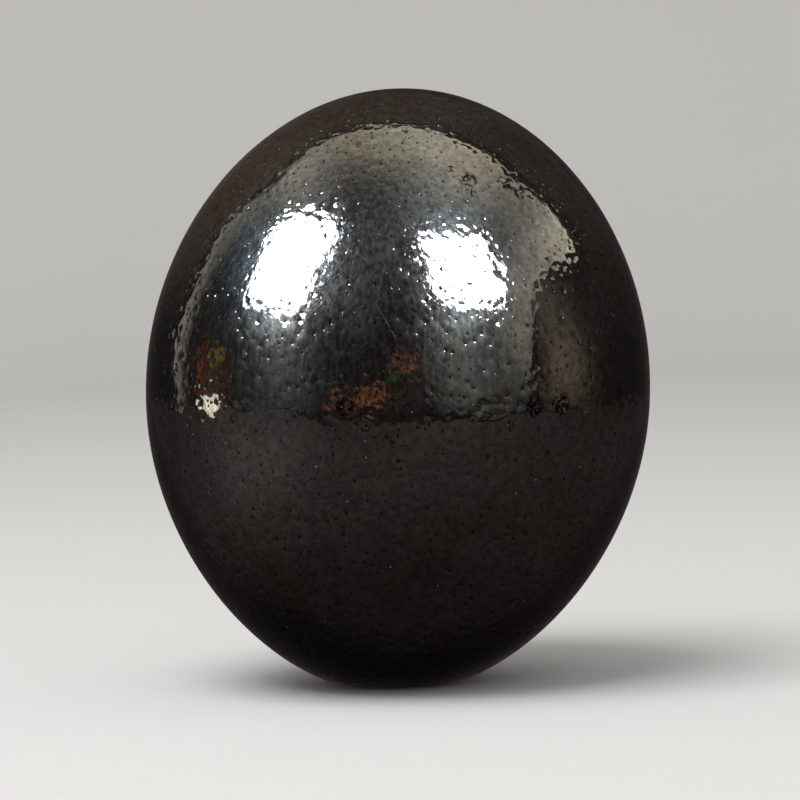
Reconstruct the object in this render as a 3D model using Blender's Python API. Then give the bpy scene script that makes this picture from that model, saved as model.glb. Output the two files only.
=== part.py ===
"""A silvered ostrich egg standing on a small ground flat spot.

Metres, +Z up. The origin is under the middle of the egg, in the plane that it rests on.
+X is to the right of someone who faces the egg, +Y is away from them.
"""

from math import radians

import bmesh
import bpy
import numpy as np
from mathutils import Matrix, Vector

# Driving dimensions of the egg.
BREADTH = 0.1270
CROWN_HALF_LENGTH = 0.0759
FOOT_HALF_LENGTH = 0.0768
CROWN_TAPER = 0.025
FOOT_TAPER = 0.080
BOW = 0.0003
LEAN = radians(4.1)

# The flat spot, as its depth below the widest ring.
FLAT_DEPTH = 0.0738
RIM_MERGE = 0.0004

# Pits: the largest pores, each a six-sided dimple sunk in the shell.
SHELL_DIVISIONS = 5
SHELL_JITTER = 0.16
PIT_COUNT = 395
PIT_RADIUS = 0.00130
PIT_DEPTH = 0.00060
PIT_DEPTH_SPREAD = 0.25
PIT_EDGE_ANGLE = radians(12.0)
PIT_FREE_BAND = 0.0045
SEED = 1907

# The silvering.
SILVER_COLOUR = (0.79, 0.78, 0.76, 1.0)
SILVER_ROUGHNESS = 0.09


def clear_scene() -> None:
    """Remove every object, so the model starts from nothing."""
    for thing in list(bpy.data.objects):
        bpy.data.objects.remove(thing, do_unlink=True)


def silver_material() -> bpy.types.Material:
    """Polished silver laid over the shell."""
    material = bpy.data.materials.new("silvering")
    material.use_nodes = True
    shader = material.node_tree.nodes["Principled BSDF"]
    shader.inputs["Base Color"].default_value = SILVER_COLOUR
    shader.inputs["Metallic"].default_value = 1.0
    shader.inputs["Roughness"].default_value = SILVER_ROUGHNESS
    material.diffuse_color = SILVER_COLOUR
    return material


def egg_points(directions: np.ndarray) -> np.ndarray:
    """Move unit directions onto the egg.

    The height is the half-length times the sine of the latitude. The radius is half the
    breadth times the cosine, times one less the taper times the sine squared, which draws
    each end in a little, the foot more than the crown. The bow times the sine squared then
    carries both ends to one side, because no egg is quite straight.
    """
    sine = directions[:, 2:3]
    half_length = np.where(sine > 0.0, CROWN_HALF_LENGTH, FOOT_HALF_LENGTH)
    taper = np.where(sine > 0.0, CROWN_TAPER, FOOT_TAPER)
    across = directions[:, :2] * (0.5 * BREADTH) * (1.0 - taper * sine**2)
    across[:, 0:1] += BOW * sine**2
    return np.hstack([across, half_length * sine])


def jittered(directions: np.ndarray, reach: float, rng: np.random.Generator) -> np.ndarray:
    """Shift each direction sideways at random by up to reach, so that no grid shows."""
    shift = rng.uniform(-reach, reach, directions.shape)
    moved = directions + shift
    return moved / np.linalg.norm(moved, axis=1, keepdims=True)


def pit_vertices(shell: bmesh.types.BMesh, rng: np.random.Generator) -> list:
    """Pick vertices for pits in random order, none next to another or near the flat spot."""
    chosen = []
    taken = set()
    shell.verts.index_update()
    shell.verts.ensure_lookup_table()
    for index in rng.permutation(len(shell.verts)):
        vertex = shell.verts[int(index)]
        if vertex.index in taken or vertex.co.z < PIT_FREE_BAND - FLAT_DEPTH:
            continue
        chosen.append(vertex)
        taken.update(edge.other_vert(vertex).index for edge in vertex.link_edges)
        taken.add(vertex.index)
        if len(chosen) == PIT_COUNT:
            break
    return chosen


def sink_pits(shell: bmesh.types.BMesh, rng: np.random.Generator) -> None:
    """Cut the corner off each chosen vertex and push the middle of the cut inwards."""
    chosen = pit_vertices(shell, rng)
    rims = bmesh.ops.bevel(
        shell,
        geom=chosen,
        offset=PIT_RADIUS,
        offset_type="OFFSET",
        segments=1,
        affect="VERTICES",
        clamp_overlap=True,
    )
    middles = bmesh.ops.poke(shell, faces=rims["faces"])["verts"]
    for middle in middles:
        inwards = -middle.co.normalized()
        middle.co += inwards * PIT_DEPTH * rng.uniform(1.0 - PIT_DEPTH_SPREAD, 1.0 + PIT_DEPTH_SPREAD)


def cut_flat(shell: bmesh.types.BMesh) -> None:
    """Grind the foot off level, close it and turn all faces out."""
    cut = bmesh.ops.bisect_plane(
        shell,
        geom=list(shell.verts) + list(shell.edges) + list(shell.faces),
        plane_co=Vector((0.0, 0.0, -FLAT_DEPTH)),
        plane_no=Vector((0.0, 0.0, -1.0)),
        clear_outer=True,
    )
    rim = [item for item in cut["geom_cut"] if isinstance(item, bmesh.types.BMVert)]
    bmesh.ops.remove_doubles(shell, verts=rim, dist=RIM_MERGE)
    bmesh.ops.holes_fill(shell, edges=[edge for edge in shell.edges if edge.is_boundary])
    bmesh.ops.triangulate(shell, faces=[face for face in shell.faces if len(face.verts) == 4])
    bmesh.ops.recalc_face_normals(shell, faces=list(shell.faces))


def stand_on_origin(mesh: bpy.types.Mesh) -> None:
    """Slide the mesh so that its box stands on the origin by the middle of its bottom."""
    places = np.empty(len(mesh.vertices) * 3, dtype=np.float32)
    mesh.vertices.foreach_get("co", places)
    places = places.reshape(-1, 3)
    low = places.min(axis=0)
    high = places.max(axis=0)
    middle = 0.5 * (low + high)
    mesh.transform(Matrix.Translation((-middle[0], -middle[1], -low[2])))


def make_egg() -> bpy.types.Object:
    """Build the whole egg as one closed body."""
    rng = np.random.default_rng(SEED)
    shell = bmesh.new()
    bmesh.ops.create_icosphere(shell, subdivisions=SHELL_DIVISIONS, radius=1.0)
    directions = np.array([vertex.co for vertex in shell.verts])
    spacing = np.sqrt(4.0 * np.pi / len(directions))
    places = egg_points(jittered(directions, SHELL_JITTER * spacing, rng))
    for vertex, place in zip(shell.verts, places):
        vertex.co = place
    bmesh.ops.rotate(shell, verts=shell.verts, matrix=Matrix.Rotation(LEAN, 3, "Y"))
    sink_pits(shell, rng)
    cut_flat(shell)
    mesh = bpy.data.meshes.new("egg")
    shell.to_mesh(mesh)
    shell.free()
    stand_on_origin(mesh)
    mesh.shade_smooth()
    mesh.set_sharp_from_angle(angle=PIT_EDGE_ANGLE)
    mesh.materials.append(silver_material())
    egg = bpy.data.objects.new("egg", mesh)
    bpy.context.scene.collection.objects.link(egg)
    return egg


clear_scene()
make_egg()
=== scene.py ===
"""A silvered ostrich egg, pitted all over, standing on its ground flat spot in a studio.

Metres, +Z up. The origin is under the middle of the egg, in the plane that it rests on. +X is to the right
of someone who faces the egg, +Y is away from them.
"""

import logging
from dataclasses import dataclass, field
from enum import Enum
from functools import cached_property
from math import cos, pi, radians, sin

import bpy
import numpy as np
from mathutils import Matrix, Vector
from mathutils.geometry import delaunay_2d_cdt


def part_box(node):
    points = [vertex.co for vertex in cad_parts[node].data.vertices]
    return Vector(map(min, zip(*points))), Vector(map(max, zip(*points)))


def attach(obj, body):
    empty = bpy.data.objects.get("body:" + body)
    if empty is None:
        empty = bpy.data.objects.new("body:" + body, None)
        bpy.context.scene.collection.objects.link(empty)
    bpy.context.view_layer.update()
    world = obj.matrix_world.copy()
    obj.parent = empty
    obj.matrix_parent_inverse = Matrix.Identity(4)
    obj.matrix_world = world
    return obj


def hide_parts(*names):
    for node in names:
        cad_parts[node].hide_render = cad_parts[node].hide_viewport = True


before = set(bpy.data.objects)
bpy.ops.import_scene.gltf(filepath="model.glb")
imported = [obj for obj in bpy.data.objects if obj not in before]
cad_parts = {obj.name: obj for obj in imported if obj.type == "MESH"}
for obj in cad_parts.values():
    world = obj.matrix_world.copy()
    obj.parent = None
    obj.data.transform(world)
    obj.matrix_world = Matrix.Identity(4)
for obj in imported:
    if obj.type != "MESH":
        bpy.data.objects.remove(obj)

log = logging.getLogger("silvered_egg")

Pixel = tuple[float, float]
Place = tuple[float, float, float]
Colour = tuple[float, float, float]
Socket = bpy.types.NodeSocket
Value = Socket | float | tuple[float, ...] | list[float]


class Body(Enum):
    """The one body of the model."""

    ROOT = "root"


class Node(Enum):
    """The solid that the visible egg stands for."""

    EGG = "egg"


class Slot(Enum):
    """The finish that the record gives the egg."""

    SILVERING = "silvering"


def unit(vectors: np.ndarray) -> np.ndarray:
    """Scale each row to length one.

    Args:
        vectors: rows of three numbers, none of them all zero.

    Returns:
        The rows, each divided by its length.
    """
    return vectors / np.linalg.norm(vectors, axis=1, keepdims=True)


def smoothstep(low: float, high: float, values: np.ndarray) -> np.ndarray:
    """Rise from 0 at low to 1 at high along three shares squared less two shares cubed.

    Args:
        low: the value at which the rise begins.
        high: the value at which it ends.
        values: the values to grade.

    Returns:
        A number from 0 to 1 for each value.
    """
    share = np.clip((values - low) / (high - low), 0.0, 1.0)
    return share * share * (3.0 - 2.0 * share)


def golden_spiral(count: int) -> np.ndarray:
    """Spread directions evenly over a ball.

    The heights fall from 1 to -1 in even steps, and each direction is turned about the z axis by the
    golden angle from the one before.

    Args:
        count: how many directions.

    Returns:
        Unit rows, count of them.
    """
    order = np.arange(count) + 0.5
    height = 1.0 - 2.0 * order / count
    turn = pi * (1.0 + 5.0**0.5) * order
    radius = np.sqrt(1.0 - height**2)
    return np.column_stack([radius * np.cos(turn), radius * np.sin(turn), height])


def mesh_from(name: str, places: np.ndarray, faces: np.ndarray, smooth: bool = True) -> bpy.types.Mesh:
    """Put arrays into a new mesh.

    Args:
        name: the mesh's name.
        places: rows of x, y and z.
        faces: rows of three or four vertex numbers.
        smooth: whether the faces are shaded smooth.

    Returns:
        The mesh.
    """
    mesh = bpy.data.meshes.new(name)
    count, sides = faces.shape
    mesh.vertices.add(len(places))
    mesh.vertices.foreach_set("co", places.astype(np.float32).ravel())
    mesh.loops.add(count * sides)
    mesh.loops.foreach_set("vertex_index", faces.astype(np.int32).ravel())
    mesh.polygons.add(count)
    mesh.polygons.foreach_set("loop_start", (np.arange(count) * sides).astype(np.int32))
    mesh.update(calc_edges=True)
    if smooth:
        mesh.shade_smooth()
    return mesh


def add_object(name: str, data: bpy.types.ID) -> bpy.types.Object:
    """Link a new object into the scene.

    Args:
        name: the object's name.
        data: the mesh, lamp or camera that it holds.

    Returns:
        The object.
    """
    made = bpy.data.objects.new(name, data)
    bpy.context.scene.collection.objects.link(made)
    return made


def grid_faces(rows: int, columns: int, closed: bool) -> np.ndarray:
    """Number the four-sided faces of a grid of vertices that is stored row by row.

    Args:
        rows: the vertices along the first parameter.
        columns: the vertices along the second parameter.
        closed: whether the last row joins the first.

    Returns:
        Rows of four vertex numbers.
    """
    first = np.arange(rows if closed else rows - 1)
    row, column = np.meshgrid(first, np.arange(columns - 1), indexing="ij")
    here = row * columns + column
    there = ((row + 1) % rows) * columns + column
    return np.stack([here, there, there + 1, here + 1], axis=-1).reshape(-1, 4)


@dataclass(frozen=True)
class EggForm:
    """The smooth egg before it is pitted, at the sizes of the solid that it dresses.

    In the egg's own axes the widest ring lies at height zero. Where a point's height is a share s of the
    half-length, its radius is half the breadth, times one less the taper times s squared, times the root
    of one less s squared. Both ends are carried along x by the bow times s squared.
    """

    breadth: float = 0.1270
    crown_half_length: float = 0.0759
    foot_half_length: float = 0.0768
    crown_taper: float = 0.025
    foot_taper: float = 0.080
    bow: float = 0.0003
    lean: float = radians(4.1)
    flat_depth: float = 0.0738

    def end_values(self, heights: np.ndarray) -> tuple[np.ndarray, np.ndarray]:
        """Pick the half-length and the taper of the end that each height lies in.

        Args:
            heights: heights, or sines of latitude, above the widest ring.

        Returns:
            The half-lengths and the tapers.
        """
        half_length = np.where(heights > 0.0, self.crown_half_length, self.foot_half_length)
        taper = np.where(heights > 0.0, self.crown_taper, self.foot_taper)
        return half_length, taper

    def surface(self, directions: np.ndarray) -> np.ndarray:
        """Move unit directions onto the egg, in its own axes, by the formula of the class.

        Args:
            directions: unit rows.

        Returns:
            Points of the surface.
        """
        sine = directions[:, 2:3]
        half_length, taper = self.end_values(sine)
        across = directions[:, :2] * (0.5 * self.breadth) * (1.0 - taper * sine**2)
        across[:, 0:1] += self.bow * sine**2
        return np.hstack([across, half_length * sine])

    def level(self, points: np.ndarray) -> tuple[np.ndarray, np.ndarray]:
        """Say how far points lie from the surface, on a scale of the egg's own.

        The level is the radius over the full radius, squared, plus the share of the half-length squared,
        less one: below zero inside, zero on the surface. The slope is its exact gradient.

        Args:
            points: rows in the egg's own axes.

        Returns:
            The levels, and the slopes as rows.
        """
        x, y, z = points.T
        half_length, taper = self.end_values(z)
        share = z / half_length
        full = 0.5 * self.breadth * (1.0 - taper * share**2)
        across = x - self.bow * share**2
        radius_squared = across**2 + y**2
        level = radius_squared / full**2 + share**2 - 1.0
        by_bow = -4.0 * self.bow * share * across / full**2
        by_taper = 2.0 * self.breadth * taper * share * radius_squared / full**3
        slope = np.column_stack([
            2.0 * across / full**2,
            2.0 * y / full**2,
            (by_bow + by_taper + 2.0 * share) / half_length,
        ])
        return level, slope


class PlacedEgg:
    """The smooth egg where it stands: leaned, cut off level and fitted into the solid's box."""

    BOX_SAMPLES = 40000
    BISECTIONS = 44
    SETTLE_STEPS = 3
    SAMPLE_STEP = 0.25

    def __init__(self, form: EggForm, low: Vector, high: Vector) -> None:
        """Fit the form into a box that stands on the ground.

        The form is leaned about the y axis and cut off level at the flat's depth below its centre. What is
        left is scaled by the least of the three ratios of the box's sides to its own, and set down with its
        middle over the origin.

        Args:
            form: the smooth egg in its own axes.
            low: the lowest corner of the solid's box.
            high: its highest corner.
        """
        self.form = form
        self.turn = np.array(Matrix.Rotation(form.lean, 3, "Y"))
        leaned = form.surface(golden_spiral(self.BOX_SAMPLES)) @ self.turn.T
        kept = leaned[leaned[:, 2] > -form.flat_depth]
        least = kept.min(axis=0)
        most = kept.max(axis=0)
        self.base = np.array([0.5 * (least[0] + most[0]), 0.5 * (least[1] + most[1]), -form.flat_depth])
        spans = np.array([most[0] - least[0], most[1] - least[1], most[2] + form.flat_depth])
        self.scale = float(np.min(np.array(high - low) / spans))

    def to_frame(self, points: np.ndarray) -> np.ndarray:
        """Carry rows from the egg's own axes to the frame."""
        return (points @ self.turn.T - self.base) * self.scale

    def to_own(self, points: np.ndarray) -> np.ndarray:
        """Carry rows from the frame to the egg's own axes."""
        return (points / self.scale + self.base) @ self.turn

    @property
    def centre(self) -> np.ndarray:
        """The centre of the widest ring, in the frame."""
        return self.to_frame(np.zeros((1, 3)))[0]

    def level(self, points: np.ndarray) -> tuple[np.ndarray, np.ndarray]:
        """Give the form's level and its slope at rows in the frame."""
        level, slope = self.form.level(self.to_own(points))
        return level, (slope @ self.turn.T) / self.scale

    def normals(self, points: np.ndarray) -> np.ndarray:
        """Give the outward normals of the smooth egg at rows in the frame."""
        return unit(self.level(points)[1])

    def settle(self, points: np.ndarray) -> np.ndarray:
        """Bring points that lie near the surface onto it.

        Each step goes back along the slope by the level over the slope's length squared.

        Args:
            points: rows in the frame.

        Returns:
            The rows on the surface.
        """
        for _ in range(self.SETTLE_STEPS):
            level, slope = self.level(points)
            points = points - slope * (level / np.sum(slope**2, axis=1))[:, None]
        return points

    def surface(self, directions: np.ndarray) -> np.ndarray:
        """Move unit directions of the egg's own axes onto it, in the frame."""
        return self.to_frame(self.form.surface(directions))

    def hits(self, starts: np.ndarray, rays: np.ndarray) -> np.ndarray:
        """Find where rays first meet the egg.

        The level along a ray is close to a parabola, whose lowest point three samples give, a share of the
        breadth apart. Halving then closes in between a place well before that point and the point itself.
        A ray that misses ends at its lowest point, on the egg's outline.

        Args:
            starts: a row for each ray, or one row for all.
            rays: unit rows.

        Returns:
            A point for each ray.
        """
        starts = np.broadcast_to(starts, rays.shape)
        middle = np.sum((self.centre - starts) * rays, axis=1)
        step = self.SAMPLE_STEP * self.form.breadth
        before, there, after = (
            self.level(starts + rays * (middle + shift)[:, None])[0] for shift in (-step, 0.0, step)
        )
        lowest = middle + 0.5 * step * (before - after) / (before - 2.0 * there + after)
        outside = lowest - self.form.breadth
        inside = lowest
        for _ in range(self.BISECTIONS):
            halfway = 0.5 * (outside + inside)
            clear = self.level(starts + rays * halfway[:, None])[0] > 0.0
            outside = np.where(clear, halfway, outside)
            inside = np.where(clear, inside, halfway)
        return starts + rays * outside[:, None]


@dataclass(frozen=True)
class Ripples:
    """Soft unevenness of the shell: plane waves of many directions and lengths, added up."""

    count: int
    shortest: float
    longest: float
    height: float

    def heights(self, points: np.ndarray, rng: np.random.Generator) -> np.ndarray:
        """Sum sines of the distance along each wave's direction over its length, plus its phase.

        Args:
            points: rows in the frame.
            rng: the source of directions, lengths and phases.

        Returns:
            A height for each point, mostly within plus or minus the field height.
        """
        along = unit(rng.normal(size=(self.count, 3)))
        length = rng.uniform(self.shortest, self.longest, self.count)
        phase = rng.uniform(0.0, 2.0 * pi, self.count)
        waves = np.sin(points @ (along / length[:, None]).T * 2.0 * pi + phase)
        return self.height * waves.sum(axis=1) / (2.0 * (0.5 * self.count) ** 0.5)


@dataclass(frozen=True)
class Pits:
    """Every pit of the shell: its place, its rim's radius, its depth and how open its pore is, 0 to 1."""

    places: np.ndarray
    rims: np.ndarray
    depths: np.ndarray
    pores: np.ndarray


@dataclass(frozen=True)
class PitPattern:
    """How the pits of an ostrich shell are strewn: evenly on the whole, with pairs and gaps.

    The large pits are those of the solid, and the others are strewn between them. Lengths are in metres. A
    spread is that of a normal chance. Most pits have a wide pore, the rest a narrow one or none.
    """

    strewn: int = 7400
    jitter: float = 0.28
    twin_share: float = 0.13
    twin_near: float = 0.00105
    twin_far: float = 0.00155
    rim: float = 0.00084
    rim_spread: float = 0.16
    large_rim: float = 0.00102
    crowding: float = 0.60
    gap_share: float = 0.47
    depth: float = 0.000050
    depth_spread: float = 0.46
    deepest: float = 2.3
    large_depth: float = 0.000064
    pore_share: float = 0.82
    wide_pores: tuple[float, float] = (0.45, 1.0)
    narrow_pores: tuple[float, float] = (0.0, 0.30)
    thinnings: int = 2
    foot_band: float = 0.0014
    solid_pit_depth: float = 0.0003
    decimals: int = 5
    seed: int = 71

    def solid_pits(self, egg: PlacedEgg, node: bpy.types.Object) -> np.ndarray:
        """Find the middles of the pits of the solid: its vertices well inside the smooth egg.

        Args:
            egg: the smooth egg.
            node: the solid's object.

        Returns:
            Rows on the smooth egg, over the pits.
        """
        places = np.empty(len(node.data.vertices) * 3, np.float32)
        node.data.vertices.foreach_get("co", places)
        places = np.unique(np.round(places.reshape(-1, 3).astype(float), self.decimals), axis=0)
        places = places[places[:, 2] > self.foot_band]
        above = egg.settle(places)
        sunk = np.linalg.norm(above - places, axis=1) > self.solid_pit_depth
        return above[sunk]

    def strewn_places(self, egg: PlacedEgg, rng: np.random.Generator) -> np.ndarray:
        """Strew places over the egg, some of them in pairs.

        A golden spiral is shaken by a share of its spacing. A share of the places then gets a twin, at a
        random distance and turn about the normal.

        Args:
            egg: the smooth egg.
            rng: the source of chance.

        Returns:
            Rows on the egg.
        """
        spacing = (4.0 * pi / self.strewn) ** 0.5
        shake = rng.normal(0.0, self.jitter * spacing, (self.strewn, 3))
        singles = egg.surface(unit(golden_spiral(self.strewn) + shake))
        parents = singles[rng.random(self.strewn) < self.twin_share]
        reach = rng.uniform(self.twin_near, self.twin_far, len(parents))
        turn = rng.uniform(0.0, 2.0 * pi, len(parents))
        first, second = tangents(egg.normals(parents))
        step = first * np.cos(turn)[:, None] + second * np.sin(turn)[:, None]
        return np.vstack([singles, egg.settle(parents + step * reach[:, None])])

    def pits(self, egg: PlacedEgg, node: bpy.types.Object) -> Pits:
        """Lay out all pits: those of the solid first, then small ones where there is room.

        A pit is dropped where it would crowd an earlier one, and each rim then stays within a share of the
        way to the nearest pit. Sizes and depths vary by e to the power of a normal chance.

        Args:
            egg: the smooth egg.
            node: the solid's object.

        Returns:
            The pits.
        """
        rng = np.random.default_rng(self.seed)
        large = self.solid_pits(egg, node)
        small = self.strewn_places(egg, rng)
        small = small[small[:, 2] > self.foot_band]
        places = np.vstack([large, small])
        is_large = np.arange(len(places)) < len(large)
        size = np.exp(rng.normal(0.0, self.rim_spread, len(places)))
        rims = np.where(is_large, self.large_rim, self.rim) * size
        for _ in range(self.thinnings):
            sides, gaps = neighbours(places, egg.centre)
            tight = gaps < self.crowding * rims[sides].sum(axis=1)
            dropped = np.unique(sides[tight].max(axis=1))
            places = np.delete(places, dropped, axis=0)
            rims = np.delete(rims, dropped)
            is_large = np.delete(is_large, dropped)
        sides, gaps = neighbours(places, egg.centre)
        nearest = np.full(len(places), np.inf)
        np.minimum.at(nearest, sides[:, 0], gaps)
        np.minimum.at(nearest, sides[:, 1], gaps)
        rims = np.minimum(rims, self.gap_share * nearest)
        chance = np.exp(rng.normal(0.0, self.depth_spread, len(places))).clip(0.0, self.deepest)
        depths = np.where(is_large, self.large_depth, self.depth) * chance * (rims / self.rim)
        open_pore = is_large | (rng.random(len(places)) < self.pore_share)
        wide = rng.uniform(*self.wide_pores, len(places))
        narrow = rng.uniform(*self.narrow_pores, len(places))
        pores = np.where(open_pore, wide, narrow)
        return Pits(places, rims, depths, pores)


@dataclass(frozen=True)
class Skin:
    """The finished surface: places, faces, shading normals and shares of a pore."""

    places: np.ndarray
    faces: np.ndarray
    normals: np.ndarray
    pores: np.ndarray


def soft_normals(places: np.ndarray, faces: np.ndarray) -> np.ndarray:
    """Give each vertex the mean direction of its faces, the larger ones counting for more.

    Args:
        places: rows in the frame.
        faces: rows of three vertex numbers.

    Returns:
        Unit rows, one for each vertex.
    """
    corners = places[faces]
    facing = np.cross(corners[:, 1] - corners[:, 0], corners[:, 2] - corners[:, 0])
    total = np.zeros_like(places)
    for column in range(3):
        np.add.at(total, faces[:, column], facing)
    return unit(total)


# How upright a normal is near a pole, and how near two points count as one.
STEEP = 0.9
TOUCHING = 1e-9


def tangents(normals: np.ndarray) -> tuple[np.ndarray, np.ndarray]:
    """Give two unit rows across each normal, square to it and to each other.

    The first is the normal crossed with the z axis, or with the x axis near the poles. The second is the
    normal crossed with the first.

    Args:
        normals: unit rows.

    Returns:
        The two sets of rows.
    """
    steep = np.abs(normals[:, 2:3]) > STEEP
    aside = np.where(steep, np.array([1.0, 0.0, 0.0]), np.array([0.0, 0.0, 1.0]))
    first = unit(np.cross(normals, aside))
    return first, np.cross(normals, first)


def covering(places: np.ndarray, eye: np.ndarray) -> np.ndarray:
    """Join points that surround an eye by triangles, as even as can be.

    The directions from the eye are laid flat by x and y over one plus z, which keeps circles round, so the
    even triangles of the plane are even on the ball too. The hole left straight below stays open.

    Args:
        places: rows in the frame.
        eye: a point inside them.

    Returns:
        Rows of three vertex numbers.
    """
    rays = unit(places - eye)
    flat = rays[:, :2] / (1.0 + rays[:, 2:3])
    laid = delaunay_2d_cdt([Vector(point) for point in flat.tolist()], [], [], 0, TOUCHING)
    source = np.array([first[0] for first in laid[3]])
    return source[np.array(laid[2])]


def neighbours(places: np.ndarray, eye: np.ndarray) -> tuple[np.ndarray, np.ndarray]:
    """List the pairs of points that the triangles join, and how far apart they are.

    Args:
        places: rows in the frame.
        eye: a point inside them.

    Returns:
        Rows of two vertex numbers, and their distances.
    """
    faces = covering(places, eye)
    sides = np.vstack([faces[:, [0, 1]], faces[:, [1, 2]], faces[:, [2, 0]]])
    sides = np.unique(np.sort(sides, axis=1), axis=0)
    return sides, np.linalg.norm(places[sides[:, 0]] - places[sides[:, 1]], axis=1)


class Rise(Enum):
    """How a graded value goes from its start to its end."""

    SOFT = "SMOOTHSTEP"
    EVEN = "LINEAR"


@dataclass(frozen=True)
class Grade:
    """A rise or fall: from start, where a value is low, to end, where it is high."""

    low: float
    high: float
    start: float = 0.0
    end: float = 1.0


@dataclass(frozen=True)
class Noise:
    """Soft noise about one half on a piece's own coordinates, and the grade that it goes through, if any.

    It has so many lumps to a metre, with finer layers over them that have a strength, all dragged about by
    the distortion. The stretch is how many times longer the lumps are upright than level, or along a way
    that leans from upright about the y axis, in radians.
    """

    per_metre: float
    detail: float = 2.0
    strength: float = 0.5
    distortion: float = 0.0
    stretch: float = 1.0
    lean: float = 0.0
    grade: Grade | None = None


class NodeBench:
    """Lays out the nodes of one material. The three numbers are those of the Mix node's colour sockets."""

    MIX_FIRST = 6
    MIX_SECOND = 7
    MIX_RESULT = 2

    def __init__(self, name: str) -> None:
        """Start a material whose nodes are cleared but for the output.

        Args:
            name: the material's name.
        """
        self.material = bpy.data.materials.new(name)
        self.material.use_nodes = True
        self.tree = self.material.node_tree
        self.tree.nodes.clear()
        self.output = self.tree.nodes.new("ShaderNodeOutputMaterial")

    @cached_property
    def places(self) -> Socket:
        """The piece's own coordinates."""
        return self.node("TexCoord").outputs["Object"]

    def node(self, kind: str, **values: object) -> bpy.types.Node:
        """Add a node.

        Args:
            kind: what follows ShaderNode in its type.
            values: settings of the node itself.

        Returns:
            The node.
        """
        made = self.tree.nodes.new("ShaderNode" + kind)
        for name, value in values.items():
            setattr(made, name, value)
        return made

    def join(self, source: Socket, target: Socket) -> None:
        """Link one socket to another."""
        self.tree.links.new(source, target)

    def feed(self, target: Socket, value: Value) -> None:
        """Link a socket into the target, or set the target to a value.

        Args:
            target: the socket to feed.
            value: the socket or the value that it gets.
        """
        if isinstance(value, Socket):
            self.join(value, target)
        else:
            target.default_value = value

    def math(self, operation: str, first: Value, second: Value = 0.0) -> Socket:
        """Work out one operation on two numbers.

        Args:
            operation: the operation's name.
            first: a socket or a number.
            second: a socket or a number.

        Returns:
            The result.
        """
        made = self.node("Math", operation=operation)
        self.feed(made.inputs[0], first)
        self.feed(made.inputs[1], second)
        return made.outputs[0]

    def vector(self, operation: str, first: Value, second: Value = (0.0, 0.0, 0.0),
               result: str = "Value") -> Socket:
        """Work out one operation on two vectors.

        Args:
            operation: the operation's name.
            first: a socket or three numbers.
            second: a socket or three numbers.
            result: Value for a number or Vector for a vector.

        Returns:
            The result.
        """
        made = self.node("VectorMath", operation=operation)
        self.feed(made.inputs[0], first)
        self.feed(made.inputs[1], second)
        return made.outputs[result]

    def strongest(self, covers: list[Socket]) -> Socket:
        """Join covers into one: the highest of them at each place.

        Args:
            covers: the covers, one at least.

        Returns:
            The joined cover.
        """
        joined = covers[0]
        for cover in covers[1:]:
            joined = self.math("MAXIMUM", joined, cover)
        return joined

    def graded(self, value: Socket, grade: Grade, rise: Rise = Rise.SOFT) -> Socket:
        """Put a value through a grade.

        Args:
            value: the socket to grade.
            grade: the rise or fall.
            rise: how it goes from start to end.

        Returns:
            The graded socket.
        """
        made = self.node("MapRange", interpolation_type=rise.value)
        self.join(value, made.inputs["Value"])
        made.inputs["From Min"].default_value = grade.low
        made.inputs["From Max"].default_value = grade.high
        made.inputs["To Min"].default_value = grade.start
        made.inputs["To Max"].default_value = grade.end
        return made.outputs["Result"]

    def blend(self, share: Socket, first: Value, second: Colour) -> Socket:
        """Mix two colours.

        Args:
            share: how much of the second, from 0 to 1.
            first: a colour or a socket.
            second: a colour.

        Returns:
            The mixed colour.
        """
        made = self.node("Mix", data_type="RGBA")
        self.join(share, made.inputs[0])
        self.feed(made.inputs[self.MIX_FIRST], first if isinstance(first, Socket) else (*first, 1.0))
        self.feed(made.inputs[self.MIX_SECOND], (*second, 1.0))
        return made.outputs[self.MIX_RESULT]

    def noise(self, noise: Noise) -> Socket:
        """Draw soft noise on the piece.

        Args:
            noise: its values.

        Returns:
            The noise, or what its grade makes of it.
        """
        places = self.places
        if noise.stretch != 1.0:
            drawn_out = self.node("Mapping", vector_type="TEXTURE")
            self.join(places, drawn_out.inputs["Vector"])
            drawn_out.inputs["Scale"].default_value = (1.0, 1.0, noise.stretch)
            drawn_out.inputs["Rotation"].default_value = (0.0, noise.lean, 0.0)
            places = drawn_out.outputs["Vector"]
        made = self.node("TexNoise")
        self.join(places, made.inputs["Vector"])
        made.inputs["Scale"].default_value = noise.per_metre
        made.inputs["Detail"].default_value = noise.detail
        made.inputs["Roughness"].default_value = noise.strength
        made.inputs["Distortion"].default_value = noise.distortion
        lumps = made.outputs["Fac"]
        return lumps if noise.grade is None else self.graded(lumps, noise.grade)

    def centred(self, noise: Noise) -> Socket:
        """Draw soft noise about zero."""
        return self.math("SUBTRACT", self.noise(noise), 0.5)


@dataclass(frozen=True)
class DarkMark:
    """A dark scribbled mark in the silver's colour: its place and how far it reaches."""

    place: list[float]
    reach: float


@dataclass(frozen=True)
class Scratch:
    """A long thin scratch: its middle, the unit way across it, half its length and its cover."""

    middle: list[float]
    across: list[float]
    half_length: float
    cover: float


@dataclass(frozen=True)
class DustLayer:
    """Specks of dust of one size, in cells of so many to a metre.

    A speck is whole within the inner radius and gone at the outer one, both as shares of a cell. Bare is
    the share of the cells that hold none.
    """

    per_metre: float
    inner: float
    outer: float
    bare: float


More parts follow.
